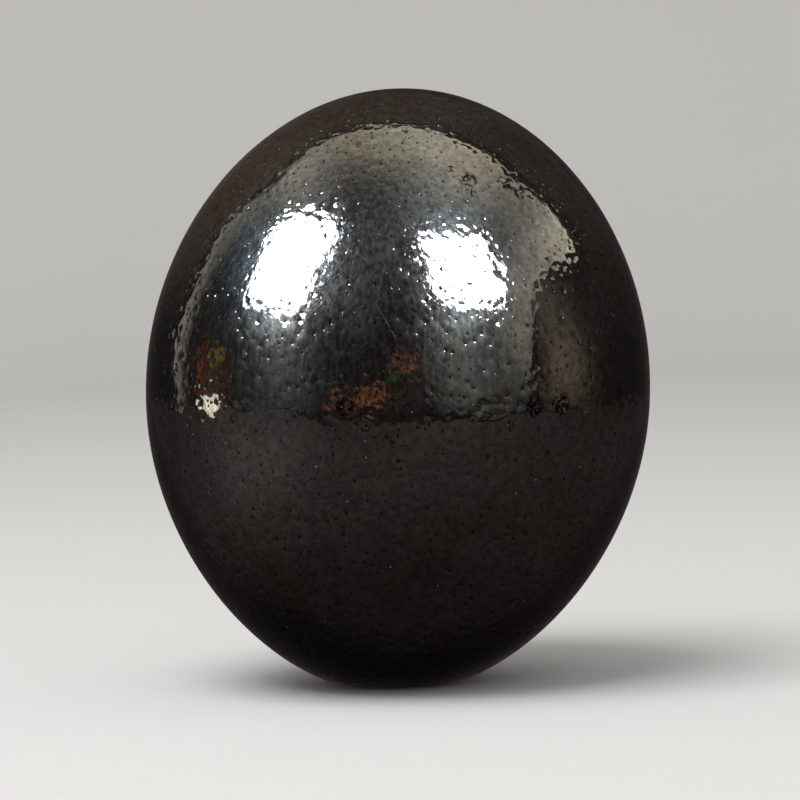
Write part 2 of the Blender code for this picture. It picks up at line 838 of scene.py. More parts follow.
@dataclass(frozen=True)
class Silvering:
    """Polished silver laid over the shell, with tarnish in the pores and rubbed, scuffed places."""

    silver: Colour = (0.93, 0.91, 0.87)
    warm: Colour = (0.78, 0.65, 0.53)
    cool: Colour = (0.72, 0.77, 0.82)
    tarnish: Colour = (0.180, 0.146, 0.122)
    # The near-black colour of a few dark scribbled marks at given places of the shell.
    dark_mark: Colour = (0.030, 0.029, 0.030)
    dust: Colour = (0.27, 0.26, 0.24)
    warm_cloud: Noise = Noise(42.0, 8.0, 0.66, grade=Grade(0.46, 0.62, 0.0, 0.52))
    cool_cloud: Noise = Noise(58.0, 7.0, 0.64, 0.4, grade=Grade(0.48, 0.64, 0.0, 0.46))
    mottle: Noise = Noise(520.0, 4.0, 0.80, grade=Grade(0.34, 0.66, 0.56, 1.0))
    upright_streaks: Noise = Noise(1150.0, 1.5, stretch=11.0)
    falling_streaks: Noise = Noise(1050.0, 1.5, stretch=5.0, lean=-0.70)
    rising_streaks: Noise = Noise(1050.0, 1.5, stretch=5.0, lean=0.80)
    upright_weight: float = 0.46
    slanting_weight: float = 0.27
    streak_edge: Grade = Grade(0.42, 0.58)
    streak_shade: Grade = Grade(0.0, 1.0, 1.0, 0.64)
    film: Grade = Grade(0.0, 1.0, 0.12, 0.95)
    film_roughness: float = 0.30
    film_ior: float = 1.5
    tarnish_edge: Grade = Grade(0.18, 0.46)
    pore_edge: Grade = Grade(0.50, 0.90)
    pore_roughness: float = 0.22
    clean_roughness: Noise = Noise(60.0, 5.0, 0.6, grade=Grade(0.32, 0.68, 0.033, 0.057))
    scuffs: tuple[Noise, ...] = (
        Noise(1500.0, stretch=8.0, grade=Grade(0.50, 0.66)),
        Noise(1400.0, stretch=7.0, lean=1.25, grade=Grade(0.52, 0.68)),
        Noise(1700.0, 1.0, grade=Grade(0.58, 0.70)),
    )
    scuffed_roughness: float = 0.085
    rubbed_place: Place = (-0.004, -0.056, 0.100)
    rubbed_reach: Grade = Grade(0.016, 0.042, 1.0, 0.10)
    rubbed_cloud: Noise = Noise(45.0, 5.0, grade=Grade(0.50, 0.72, 0.0, 0.7))
    dust_layers: tuple[DustLayer, ...] = (
        DustLayer(300.0, 0.030, 0.080, 0.975),
        DustLayer(620.0, 0.045, 0.125, 0.962),
    )
    dust_heights: tuple[float, float] = (0.095, 0.145)
    dust_on_top: float = 0.30
    dust_dulling: float = 0.8
    # The dark scribbled marks: a scribble of soft noise, its lines, and the share of a mark's reach in
    # which it is whole.
    mark_scribble: Noise = Noise(600.0, 1.0)
    mark_line: Grade = Grade(0.058, 0.094, 1.0, 0.0)
    mark_whole: float = 0.55
    scratch_line: Grade = Grade(0.00003, 0.00012, 1.0, 0.0)
    scratch_whole: float = 0.6
    peel: Noise = Noise(330.0, 0.6, 0.4)
    peel_height: float = 0.0000260
    grain: Noise = Noise(1200.0, 0.5, stretch=4.0)
    grain_height: float = 0.0000240
    brush: Noise = Noise(1100.0, 0.5, stretch=4.0, lean=-0.85)
    brush_height: float = 0.0000270
    hairs: Noise = Noise(330.0, 0.5, stretch=14.0, lean=-0.45)
    hair_line: Grade = Grade(0.0, 0.022)
    hair_depth: float = 0.0000028
    pore_attribute: str = "pore"

    def material(self, dark_marks: list[DarkMark], scratches: list[Scratch]) -> bpy.types.Material:
        """Build the finish on the object's own coordinates.

        Args:
            dark_marks: the dark scribbled marks.
            scratches: the long scratches.

        Returns:
            The material.
        """
        bench = NodeBench("silvering")
        shader = bench.node("BsdfPrincipled")
        bench.join(shader.outputs["BSDF"], bench.output.inputs["Surface"])
        pore = bench.node("Attribute", attribute_name=self.pore_attribute).outputs["Fac"]
        dust = bench.strongest([*self.dust_covers(bench), *self.scratch_covers(bench, scratches)])
        rubbed = self.rubbed(bench)
        streaks = self.streaks(bench)
        worn = bench.math("MULTIPLY", bench.math("SUBTRACT", 1.0, streaks), rubbed)
        silver = self.silvered(bench, bench.graded(worn, self.streak_shade, Rise.EVEN))
        colour = bench.blend(bench.graded(pore, self.tarnish_edge), silver, self.tarnish)
        # Dark scribbled marks darken the colour about a few given places.
        colour = bench.blend(self.dark_marked(bench, dark_marks), colour, self.dark_mark)
        bench.join(bench.blend(dust, colour, self.dust), shader.inputs["Base Color"])
        metallic = bench.math("SUBTRACT", 1.0, bench.math("MULTIPLY", dust, self.dust_dulling))
        bench.join(metallic, shader.inputs["Metallic"])
        dull = bench.math("MAXIMUM", bench.graded(pore, self.pore_edge), dust)
        bench.join(self.gloss(bench, dull, rubbed), shader.inputs["Roughness"])
        bench.join(self.relief(bench, rubbed), shader.inputs["Normal"])
        bench.join(bench.graded(streaks, self.film, Rise.EVEN), shader.inputs["Coat Weight"])
        shader.inputs["Coat Roughness"].default_value = self.film_roughness
        shader.inputs["Coat IOR"].default_value = self.film_ior
        return bench.material

    def dust_covers(self, bench: NodeBench) -> list[Socket]:
        """Strew specks of dust: small discs about the points of a few random cells, more of them on top.

        Args:
            bench: the material's bench.

        Returns:
            The cover of each layer, 0 or 1 but for soft edges.
        """
        parts = bench.node("SeparateXYZ")
        bench.join(bench.places, parts.inputs[0])
        covers = []
        for layer in self.dust_layers:
            cells = bench.node("TexVoronoi")
            bench.join(bench.places, cells.inputs["Vector"])
            cells.inputs["Scale"].default_value = layer.per_metre
            speck = bench.graded(cells.outputs["Distance"], Grade(layer.inner, layer.outer, 1.0, 0.0))
            pick = bench.node("SeparateColor")
            bench.join(cells.outputs["Color"], pick.inputs["Color"])
            bare = Grade(*self.dust_heights, layer.bare, layer.bare - self.dust_on_top)
            limit = bench.graded(parts.outputs["Z"], bare)
            chosen = bench.math("GREATER_THAN", pick.outputs["Red"], limit)
            covers.append(bench.math("MULTIPLY", speck, chosen))
        return covers

    def streaks(self, bench: NodeBench) -> Socket:
        """Draw the traces of polishing: fine streaks up and down, and two ways aslant.

        Args:
            bench: the material's bench.

        Returns:
            The streaks, 0 in the dull ones and 1 in the bright ones.
        """
        upright = bench.math("MULTIPLY", bench.noise(self.upright_streaks), self.upright_weight)
        slanting = bench.math("ADD", bench.noise(self.falling_streaks), bench.noise(self.rising_streaks))
        slanting = bench.math("MULTIPLY", slanting, self.slanting_weight)
        return bench.graded(bench.math("ADD", upright, slanting), self.streak_edge)

    def silvered(self, bench: NodeBench, streaked: Socket) -> Socket:
        """Cloud the silver with a warm and a cool patina, then mottle and streak it.

        Args:
            bench: the material's bench.
            streaked: the share of the light that the traces of polishing leave.

        Returns:
            The colour.
        """
        silver = bench.blend(bench.noise(self.warm_cloud), self.silver, self.warm)
        silver = bench.blend(bench.noise(self.cool_cloud), silver, self.cool)
        shade = bench.node("VectorMath", operation="SCALE")
        bench.join(silver, shade.inputs[0])
        bench.join(bench.math("MULTIPLY", bench.noise(self.mottle), streaked), shade.inputs["Scale"])
        return shade.outputs[0]

    def dark_marked(self, bench: NodeBench, dark_marks: list[DarkMark]) -> Socket:
        """Draw dark scribbled marks: the lines where soft noise is near its middle, about a few places.

        Args:
            bench: the material's bench.
            dark_marks: the dark scribbled marks.

        Returns:
            The cover, from 0 to 1.
        """
        lines = bench.graded(bench.math("ABSOLUTE", bench.centred(self.mark_scribble)), self.mark_line)
        near = []
        for dark_mark in dark_marks:
            away = bench.vector("DISTANCE", bench.places, dark_mark.place)
            near.append(bench.graded(away, Grade(self.mark_whole * dark_mark.reach, dark_mark.reach, 1.0, 0.0)))
        return bench.math("MULTIPLY", lines, bench.strongest(near))

    def scratch_covers(self, bench: NodeBench, scratches: list[Scratch]) -> list[Socket]:
        """Draw the long scratches: where the way across from a scratch's middle is near zero.

        Args:
            bench: the material's bench.
            scratches: the scratches.

        Returns:
            The cover of each scratch, fading out at its ends.
        """
        covers = []
        for scratch in scratches:
            step = bench.vector("SUBTRACT", bench.places, scratch.middle, "Vector")
            off = bench.math("ABSOLUTE", bench.vector("DOT_PRODUCT", step, scratch.across))
            half = scratch.half_length
            ends = Grade(self.scratch_whole * half, half, scratch.cover, 0.0)
            faded = bench.graded(bench.vector("LENGTH", step), ends)
            covers.append(bench.math("MULTIPLY", bench.graded(off, self.scratch_line), faded))
        return covers

    def gloss(self, bench: NodeBench, dull: Socket, rubbed: Socket) -> Socket:
        """Vary the roughness: soft clouds, fine scuffs up and down and across, dull pores and dust.

        Args:
            bench: the material's bench.
            dull: the cover of the pores and the dust.
            rubbed: how far the silver is rubbed.

        Returns:
            The roughness.
        """
        scuffs = bench.strongest([bench.noise(noise) for noise in self.scuffs])
        amount = bench.math("MULTIPLY", rubbed, self.scuffed_roughness)
        scuffed = bench.math("MULTIPLY", scuffs, amount)
        roughness = bench.math("ADD", bench.noise(self.clean_roughness), scuffed)
        return bench.math("ADD", roughness, bench.math("MULTIPLY", dull, self.pore_roughness))

    def rubbed(self, bench: NodeBench) -> Socket:
        """Say how far the silver is rubbed: much round one place of the front, in clouds elsewhere.

        Args:
            bench: the material's bench.

        Returns:
            The share, from the least to 1.
        """
        near = bench.graded(bench.vector("DISTANCE", bench.places, self.rubbed_place), self.rubbed_reach)
        return bench.math("MAXIMUM", near, bench.noise(self.rubbed_cloud))

    def relief(self, bench: NodeBench, rubbed: Socket) -> Socket:
        """Lay fine reliefs over each other: orange peel, upright grain, slanting brush marks, hair lines.

        Args:
            bench: the material's bench.
            rubbed: how far the silver is rubbed.

        Returns:
            The normal.
        """
        off_line = bench.math("ABSOLUTE", bench.centred(self.hairs))
        reliefs = (
            (bench.noise(self.peel), self.peel_height),
            (bench.math("MULTIPLY", bench.centred(self.grain), rubbed), self.grain_height),
            (bench.math("MULTIPLY", bench.centred(self.brush), rubbed), self.brush_height),
            (bench.graded(off_line, self.hair_line), self.hair_depth),
        )
        normal = None
        for height, size in reliefs:
            bump = bench.node("Bump")
            bump.inputs["Strength"].default_value = 1.0
            bump.inputs["Distance"].default_value = size
            bench.join(height, bump.inputs["Height"])
            if normal is not None:
                bench.join(normal, bump.inputs["Normal"])
            normal = bump.outputs["Normal"]
        return normal


@dataclass(frozen=True)
class Viewpoint:
    """Where the camera stands: far off, a little above the egg's middle and rolled a little."""

    lens: float = 180.0
    sensor: float = 36.0
    distance: float = 1.008
    elevation: float = radians(3.0)
    roll: float = radians(1.9)
    aim_right: float = 0.00052
    aim_down: float = 0.00257
    image_side: float = 800.0
    nearest: float = 0.05
    farthest: float = 20.0

    def axes(self) -> tuple[np.ndarray, np.ndarray, np.ndarray]:
        """Work out the image's own directions: tilted down by the elevation, then turned by the roll.

        Returns:
            Right and up in the image, and the way the camera looks.
        """
        right = np.array([1.0, 0.0, 0.0])
        up = np.array([0.0, sin(self.elevation), cos(self.elevation)])
        ahead = np.array([0.0, cos(self.elevation), -sin(self.elevation)])
        rolled_right = right * cos(self.roll) - up * sin(self.roll)
        rolled_up = right * sin(self.roll) + up * cos(self.roll)
        return rolled_right, rolled_up, ahead

    def place(self, egg: PlacedEgg) -> np.ndarray:
        """Give the camera's place: straight back from the point that it aims at, near the egg's centre."""
        right, up, ahead = self.axes()
        return egg.centre + right * self.aim_right - up * self.aim_down - ahead * self.distance

    def rays(self, pixels: np.ndarray) -> np.ndarray:
        """Turn pixels of the image into unit rays from the camera.

        For each step ahead, a ray goes aside by its pixel's distance from the image's middle over the
        image's side, times the sensor's width over the lens.

        Args:
            pixels: rows of x and y, y downwards, with the image's corner at zero.

        Returns:
            Unit rows.
        """
        right, up, ahead = self.axes()
        share = (pixels / self.image_side - 0.5) * (self.sensor / self.lens)
        return unit(ahead + share[:, 0:1] * right - share[:, 1:2] * up)

    def seen(self, egg: PlacedEgg, pixels: np.ndarray) -> np.ndarray:
        """Find the places of the smooth egg that pixels of the image show."""
        return egg.hits(self.place(egg), self.rays(pixels))

    def build(self, egg: PlacedEgg) -> bpy.types.Object:
        """Make the camera and hand it to the scene.

        Args:
            egg: the smooth egg that it looks at.

        Returns:
            The camera's object.
        """
        data = bpy.data.cameras.new("camera")
        data.lens = self.lens
        data.sensor_width = self.sensor
        data.clip_start = self.nearest
        data.clip_end = self.farthest
        camera = add_object("camera", data)
        right, up, ahead = self.axes()
        turn = np.column_stack([right, up, -ahead])
        camera.matrix_world = Matrix.Translation(self.place(egg)) @ Matrix(turn.tolist()).to_4x4()
        bpy.context.scene.camera = camera
        return camera


@dataclass
class EggShell:
    """The whole egg: one closed skin, pitted all over and ground flat at the foot.

    A pit is a middle, a ring and a rim, the last two with so many sides. The ring has a share of the rim's
    radius, lies at a share of the pit's depth, its level, and has a share of the tarnish of the pore. The
    foot's rings are heights and counts, and those of the flat are shares of its edge and counts.
    """

    form: EggForm = field(default_factory=EggForm)
    pattern: PitPattern = field(default_factory=PitPattern)
    swell: Ripples = Ripples(count=26, shortest=0.009, longest=0.030, height=0.000022)
    peel: Ripples = Ripples(count=40, shortest=0.0030, longest=0.0065, height=0.0000040)
    finish: Silvering = field(default_factory=Silvering)
    sides: int = 5
    ring_share: float = 0.44
    ring_level: float = 0.42
    ring_tarnish: float = 0.45
    ring_lean: float = 0.041
    rim_lean: float = 0.034
    pore_depth: float = 0.00030
    oval: float = 0.50
    upright: float = 0.45
    plain_gap: float = 0.00060
    calm_bands: tuple[float, float] = (0.5, 4.0)
    foot_rings: tuple[tuple[float, int], ...] = ((0.00045, 96), (0.00012, 96))
    flat_inset: float = 0.0005
    flat_rings: tuple[tuple[float, int], ...] = ((1.0, 96), (0.86, 80), (0.66, 60), (0.44, 40), (0.22, 20))
    ripple_seed: int = 5
    ring_seed: int = 9
    # Dark scribbled marks drawn into the silver's colour, each a pixel of the image and a reach in metres.
    dark_marks: tuple[tuple[Pixel, float], ...] = (
        ((468, 179), 0.0029),
        ((471, 192), 0.0017),
        ((451, 169), 0.0015),
        ((507, 183), 0.0030),
        ((519, 193), 0.0026),
        ((561, 404), 0.0036),
        ((534, 408), 0.0030),
        ((345, 406), 0.0032),
    )
    scratches: tuple[tuple[Pixel, Pixel, float], ...] = (
        ((375, 302), (399, 344), 0.20),
        ((386, 258), (376, 306), 0.10),
        ((377, 303), (367, 324), 0.08),
        ((410, 293), (432, 324), 0.14),
    )

    def egg(self) -> PlacedEgg:
        """Place the smooth egg in the box of the solid."""
        return PlacedEgg(self.form, *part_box(Node.EGG.value))

    def pit_points(self, egg: PlacedEgg, pits: Pits) -> tuple[np.ndarray, np.ndarray, np.ndarray]:
        """Give each pit its vertices: a middle, a ring about the pore and a ring along the rim.

        A ring point is the middle plus the radius along the two tangents by the cosine and sine of its
        angle. The tangents are turned so that the first runs up and down, give or take, and the second is
        drawn in, which makes the pit a mostly upright oval. The point is then settled on the smooth egg.

        Args:
            egg: the smooth egg.
            pits: the pits.

        Returns:
            The points on the smooth egg, how deep each is sunk in its dimple, and its share of a pore.
        """
        rng = np.random.default_rng(self.ring_seed)
        count = len(pits.places)
        first, second = tangents(egg.normals(pits.places))
        swing = 0.5 * pi + rng.normal(0.0, self.upright, count)
        longer = np.exp(np.abs(rng.normal(0.0, self.oval, count)))
        main = first * np.cos(swing)[:, None] + second * np.sin(swing)[:, None]
        cross = second * np.cos(swing)[:, None] - first * np.sin(swing)[:, None]
        angles = np.arange(self.sides) * 2.0 * pi / self.sides
        long_part = np.cos(angles)[None, :, None] * main[:, None, :]
        short_part = np.sin(angles)[None, :, None] * (cross / longer[:, None])[:, None, :]
        spokes = long_part + short_part
        rim = pits.places[:, None, :] + spokes * pits.rims[:, None, None]
        ring = pits.places[:, None, :] + spokes * (self.ring_share * pits.rims)[:, None, None]
        points = np.vstack([pits.places, ring.reshape(-1, 3), rim.reshape(-1, 3)])
        ring_depths = np.repeat(self.ring_level * pits.depths, self.sides)
        sunk = np.concatenate([pits.depths, ring_depths, np.zeros(count * self.sides)])
        ring_pores = np.repeat(self.ring_tarnish * pits.pores, self.sides)
        pore = np.concatenate([pits.pores, ring_pores, np.zeros(count * self.sides)])
        return egg.settle(points), sunk, pore

    def plain_points(self, egg: PlacedEgg, pits: Pits) -> np.ndarray:
        """Put a point in the middle of each patch of plain shell between three pits.

        A patch is the triangle between three neighbouring pits. It gets a point where its middle lies above
        the foot's band and further than the plain gap from all three rims.

        Args:
            egg: the smooth egg.
            pits: the pits.

        Returns:
            Points on the smooth egg.
        """
        corners = covering(pits.places, egg.centre)
        middles = egg.settle(pits.places[corners].mean(axis=1))
        apart = np.linalg.norm(pits.places[corners] - middles[:, None, :], axis=2)
        clear = np.min(apart - pits.rims[corners], axis=1) > self.plain_gap
        return middles[clear & (middles[:, 2] > self.pattern.foot_band)]

    def level_ring(self, egg: PlacedEgg, about: np.ndarray, height: float, count: int) -> np.ndarray:
        """Ring the shell at one height, by level rays from outside towards a place, in even turns.

        Args:
            egg: the smooth egg.
            about: the place, on the ground.
            height: the ring's height above it.
            count: how many points the ring has.

        Returns:
            The points.
        """
        angles = np.arange(count) * 2.0 * pi / count
        out = np.column_stack([np.cos(angles), np.sin(angles), np.zeros(count)])
        return egg.hits(about + out * egg.form.breadth + np.array([0.0, 0.0, height]), -out)

    def foot_points(self, egg: PlacedEgg) -> tuple[np.ndarray, np.ndarray]:
        """Ring the foot: on the shell just above the flat, along the flat's edge and across the flat.

        The rings of the flat are shares of its edge, which lies a little inside the cut, so the edge is
        eased.

        Args:
            egg: the smooth egg.

        Returns:
            The points, the flat's middle last, and the flat's middle.
        """
        under_centre = np.array([egg.centre[0], egg.centre[1], 0.0])
        rough = self.level_ring(egg, under_centre, 0.0, self.foot_rings[0][1])
        middle = 0.5 * (rough.min(axis=0) + rough.max(axis=0))
        middle[2] = 0.0
        rings = [self.level_ring(egg, middle, height, count) for height, count in self.foot_rings]
        for share, count in self.flat_rings:
            edge = self.level_ring(egg, middle, 0.0, count) - middle
            edge *= 1.0 - self.flat_inset / np.linalg.norm(edge, axis=1, keepdims=True)
            rings.append(middle + edge * share * np.array([1.0, 1.0, 0.0]))
        return np.vstack([*rings, middle[None, :]]), middle

    def skin(self, egg: PlacedEgg, pits: Pits) -> Skin:
        """Join all points into one closed skin and sink the pits.

        Each point moves in along its normal by its pit's depth and by what the ripples fall short of their
        highest, so nothing stands proud of the smooth egg. The ripples die down over the calm bands above
        the foot, in heights of the foot's band, and the foot stays as it is. The faces are turned outwards
        by the sign of the volume that they enclose. The middles of the pits go deeper still, by the depth
        of their pores, once the soft normals are taken: a pore's wall is dark, and its steepness isn't to
        bend what the silver mirrors round it.

        Args:
            egg: the smooth egg.
            pits: the pits.

        Returns:
            The skin.
        """
        pitted, sunk, pore = self.pit_points(egg, pits)
        plain = self.plain_points(egg, pits)
        foot, middle = self.foot_points(egg)
        shell = np.vstack([pitted, plain])
        depth = np.concatenate([sunk, np.zeros(len(plain))])
        rng = np.random.default_rng(self.ripple_seed)
        ripple = self.swell.heights(shell, rng) + self.peel.heights(shell, rng)
        calm, lively = (bands * self.pattern.foot_band for bands in self.calm_bands)
        fade = smoothstep(calm, lively, shell[:, 2])
        lowered = depth + (self.swell.height + self.peel.height - ripple).clip(0.0) * fade
        inwards = egg.normals(shell)
        shell = shell - inwards * lowered[:, None]
        places = np.vstack([shell, foot])
        eye = np.array([middle[0], middle[1], egg.centre[2]])
        faces = covering(places[:-1], eye)
        faces = np.vstack([faces, self.cap(faces, len(places) - 1)])
        corners = places[faces]
        if np.sum(corners[:, 0] * np.cross(corners[:, 1], corners[:, 2])) < 0.0:
            faces = faces[:, ::-1]
        normals = self.leaned(soft_normals(places, faces), places, pits)
        middles = slice(0, len(pits.places))
        deeper = self.pore_depth * pits.pores * (pits.rims / self.pattern.rim)
        places[middles] -= inwards[middles] * deeper[:, None]
        return Skin(places, faces, normals, np.concatenate([pore, np.zeros(len(plain) + len(foot))]))

    def leaned(self, normals: np.ndarray, places: np.ndarray, pits: Pits) -> np.ndarray:
        """Lean the normals of the rings and rims towards their pits' middles, as in round bowls.

        To each normal comes the unit step towards the middle times the lean, times the pit's depth over the
        usual one.

        Args:
            normals: the soft normals of all vertices.
            places: the vertices, the middles of the pits first and their rings next.
            pits: the pits.

        Returns:
            The normals, those of the rings and rims leaned.
        """
        count = len(pits.places)
        middles = np.repeat(places[:count], self.sides, axis=0)
        share = np.repeat(pits.depths / self.pattern.depth, self.sides)
        for turn, lean in enumerate((self.ring_lean, self.rim_lean)):
            start = count * (1 + turn * self.sides)
            band = slice(start, start + count * self.sides)
            normals[band] = unit(normals[band] + unit(middles - places[band]) * (lean * share)[:, None])
        return normals

    def cap(self, faces: np.ndarray, hub: int) -> np.ndarray:
        """Close the hole in the faces with a fan about the hub.

        The hole's edge is made of the sides that belong to one face only. Each of them, turned round, makes
        a triangle with the hub.

        Args:
            faces: rows of three vertex numbers.
            hub: the number of the vertex in the middle of the hole.

        Returns:
            The faces of the fan, facing the same way.
        """
        sides = np.vstack([faces[:, [0, 1]], faces[:, [1, 2]], faces[:, [2, 0]]])
        both_ways = np.sort(sides, axis=1)
        _, first, times = np.unique(both_ways, axis=0, return_index=True, return_counts=True)
        edge = sides[first[times == 1]]
        return np.column_stack([edge[:, 1], edge[:, 0], np.full(len(edge), hub)])

    def place_dark_marks(self, egg: PlacedEgg, viewpoint: Viewpoint) -> list[DarkMark]:
        """Carry each dark scribbled mark from the image to the egg.

        Args:
            egg: the smooth egg.
            viewpoint: the camera, through which the marks are placed.

        Returns:
            The dark scribbled marks.
        """
        places = viewpoint.seen(egg, np.array([pixel for pixel, _ in self.dark_marks], float))
        return [DarkMark(place, reach) for place, (_, reach) in zip(places.tolist(), self.dark_marks)]

    def scratch_marks(self, egg: PlacedEgg, viewpoint: Viewpoint) -> list[Scratch]:
        """Lay each scratch in the plane through its two ends and the egg's centre.

        Args:
            egg: the smooth egg.
            viewpoint: the camera, through which the ends are placed.

        Returns:
            The scratches.
        """
        marks = []
        for first, last, cover in self.scratches:
            start, end = viewpoint.seen(egg, np.array((first, last), float))
            middle = 0.5 * (start + end)
            across = unit(np.cross(end - start, start - egg.centre)[None, :])[0]
            half_length = 0.5 * float(np.linalg.norm(end - start))
            marks.append(Scratch(middle.tolist(), across.tolist(), half_length, cover))
        return marks

    def build(self, egg: PlacedEgg, viewpoint: Viewpoint) -> bpy.types.Object:
        """Make the egg's object, ride it on its body and stand it in for the solid.

        Args:
            egg: the smooth egg.
            viewpoint: the camera, through which the dark scribbled marks and scratches are placed.

        Returns:
            The object.
        """
        pits = self.pattern.pits(egg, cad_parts[Node.EGG.value])
        skin = self.skin(egg, pits)
        mesh = mesh_from("egg_shell", skin.places, skin.faces)
        mesh.normals_split_custom_set_from_vertices(skin.normals.tolist())
        attribute = mesh.attributes.new(self.finish.pore_attribute, "FLOAT", "POINT")
        attribute.data.foreach_set("value", skin.pores.astype(np.float32))
        dark_marks = self.place_dark_marks(egg, viewpoint)
        mesh.materials.append(self.finish.material(dark_marks, self.scratch_marks(egg, viewpoint)))
        shell = add_object("egg_shell", mesh)
        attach(shell, Body.ROOT.value)
        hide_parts(Node.EGG.value)
        log.info("egg_shell: %d pits, %d triangles", len(pits.places), len(skin.faces))
        return shell


class Fade(Enum):
    """Where a card's light dies down: nowhere, at its second edge or at its first."""

    EVEN = "even"
    TO_SECOND = "to_second"
    FROM_SECOND = "from_second"


@dataclass(frozen=True)
class Spot:
    """A soft patch of light on a card, about a pixel of the image."""

    pixel: Pixel
    reach: Pixel
    colour: Colour


@dataclass(frozen=True)
class Card:
    """A lit card outside the picture that shows only as a reflection in the silver.

    Its two edges are curves through pixels of the image. Each place of the card is carried from the image
    to the smooth egg and on along the mirrored ray, so the card fills just that stretch of the reflection.
    A second edge of one pixel makes the card a fan. A fade to the second edge starts at a share of the way
    across. The end fades are the shares of the way along over which the light comes up at the start and
    dies down at the end.
    """

    name: str
    first_edge: tuple[Pixel, ...]
    second_edge: tuple[Pixel, ...]
    colour: Colour
    closed: bool = False
    fade: Fade = Fade.EVEN
    fade_start: float = 0.0
    end_fade: tuple[float, float] = (0.0, 0.0)
    spots: tuple[Spot, ...] = ()
    sampled: bool = False
    distance: float = 1.5
    along: int = 96
    across: int = 14

    def pixels(self) -> tuple[np.ndarray, np.ndarray, np.ndarray]:
        """Spread a grid between the two edges, even from the one to the other.

        Returns:
            The pixels, and each one's share along and across.
        """
        along = np.arange(self.along) / (self.along if self.closed else self.along - 1)
        across = np.linspace(0.0, 1.0, self.across)
        first = smooth_curve(np.array(self.first_edge, float), along, self.closed)
        second = smooth_curve(np.array(self.second_edge, float), along, self.closed)
        share = across[None, :, None]
        grid = first[:, None, :] * (1.0 - share) + second[:, None, :] * share
        spread = np.broadcast_to(along[:, None], grid.shape[:2])
        return grid.reshape(-1, 2), spread.ravel(), np.broadcast_to(across, grid.shape[:2]).ravel()

    def light(self, pixels: np.ndarray, along: np.ndarray, across: np.ndarray) -> np.ndarray:
        """Work out the light of each vertex: colour plus spots, times the fades.

        A spot adds its colour times e to the power of minus the squared distance over its reach.

        Args:
            pixels: the pixel of each vertex.
            along: its share along the edges.
            across: its share from the first edge to the second.

        Returns:
            Rows of red, green and blue.
        """
        light = np.tile(np.array(self.colour), (len(pixels), 1))
        for spot in self.spots:
            away = (pixels - np.array(spot.pixel)) / np.array(spot.reach)
            light += np.exp(-np.sum(away**2, axis=1))[:, None] * np.array(spot.colour)
        if self.fade is Fade.TO_SECOND:
            light *= (1.0 - smoothstep(self.fade_start, 1.0, across))[:, None]
        if self.fade is Fade.FROM_SECOND:
            light *= smoothstep(0.0, 1.0, across)[:, None]
        start, end = self.end_fade
        if start > 0.0:
            light *= smoothstep(0.0, start, along)[:, None]
        if end > 0.0:
            light *= 1.0 - smoothstep(1.0 - end, 1.0, along)[:, None]
        return light.clip(0.0)

    def build(self, egg: PlacedEgg, viewpoint: Viewpoint) -> bpy.types.Object:
        """Hang the card where the silver mirrors it.

        A mirrored ray is the ray less twice its part along the egg's normal, and the card hangs at one
        distance along it.

        Args:
            egg: the smooth egg.
            viewpoint: the camera.

        Returns:
            The card's object.
        """
        pixels, along, across = self.pixels()
        rays = viewpoint.rays(pixels)
        hits = egg.hits(viewpoint.place(egg), rays)
        normals = egg.normals(hits)
        mirrored = unit(rays - 2.0 * np.sum(rays * normals, axis=1)[:, None] * normals)
        places = hits + mirrored * self.distance
        mesh = mesh_from(self.name, places, grid_faces(self.along, self.across, self.closed), smooth=False)
        return lit_piece(self.name, mesh, self.light(pixels, along, across), self.sampled)


def smooth_curve(points: np.ndarray, shares: np.ndarray, closed: bool) -> np.ndarray:
    """Run a smooth curve through points.

    Between two points the curve is the cubic whose slope at each of them is half the step from the point
    before to the point after.

    Args:
        points: rows of x and y.
        shares: places along the curve, from 0 to 1.
        closed: whether it runs back to the first point.

    Returns:
        A row for each share.
    """
    count = len(points)
    if count == 1:
        return np.repeat(points, len(shares), axis=0)
    stretches = count if closed else count - 1
    place = shares * stretches
    index = np.minimum(place.astype(int), stretches - 1)
    t = (place - index)[:, None]
    around = index[:, None] + np.arange(-1, 3)
    around = around % count if closed else around.clip(0, count - 1)
    before, start, end, after = (points[around[:, column]] for column in range(4))
    slope_in = 0.5 * (end - before)
    slope_out = 0.5 * (after - start)
    return (
        start * (2.0 * t**3 - 3.0 * t**2 + 1.0)
        + slope_in * (t**3 - 2.0 * t**2 + t)
        + end * (3.0 * t**2 - 2.0 * t**3)
        + slope_out * (t**3 - t**2)
    )


LIGHT_ATTRIBUTE = "light"


def lit_piece(name: str, mesh: bpy.types.Mesh, light: np.ndarray, sampled: bool) -> bpy.types.Object:
    """Make a piece of the studio that gives light only by reflection in the silver.

    Its material adds the light to what shows through it, so pieces that overlap in the silver add up.

    Args:
        name: its name.
        mesh: its shape.
        light: rows of red, green and blue, one for each vertex.
        sampled: whether the renderer aims at it.

    Returns:
        The object.
    """
    attribute = mesh.attributes.new(LIGHT_ATTRIBUTE, "FLOAT_COLOR", "POINT")
    opaque = np.hstack([light, np.ones((len(light), 1))])
    attribute.data.foreach_set("color", opaque.astype(np.float32).ravel())
    bench = NodeBench(name)
    glow = bench.node("Emission")
    colours = bench.node("Attribute", attribute_name=LIGHT_ATTRIBUTE).outputs["Color"]
    bench.join(colours, glow.inputs["Color"])
    both = bench.node("AddShader")
    bench.join(glow.outputs[0], both.inputs[0])
    bench.join(bench.node("BsdfTransparent").outputs[0], both.inputs[1])
    bench.join(both.outputs[0], bench.output.inputs["Surface"])
    bench.material.cycles.emission_sampling = "FRONT_BACK" if sampled else "NONE"
    mesh.materials.append(bench.material)
    piece = add_object(name, mesh)
    piece.visible_camera = False
    piece.visible_diffuse = False
    piece.visible_transmission = False
    piece.visible_volume_scatter = False
    piece.visible_shadow = False
    log.info("lit piece: %s", name)
    return piece


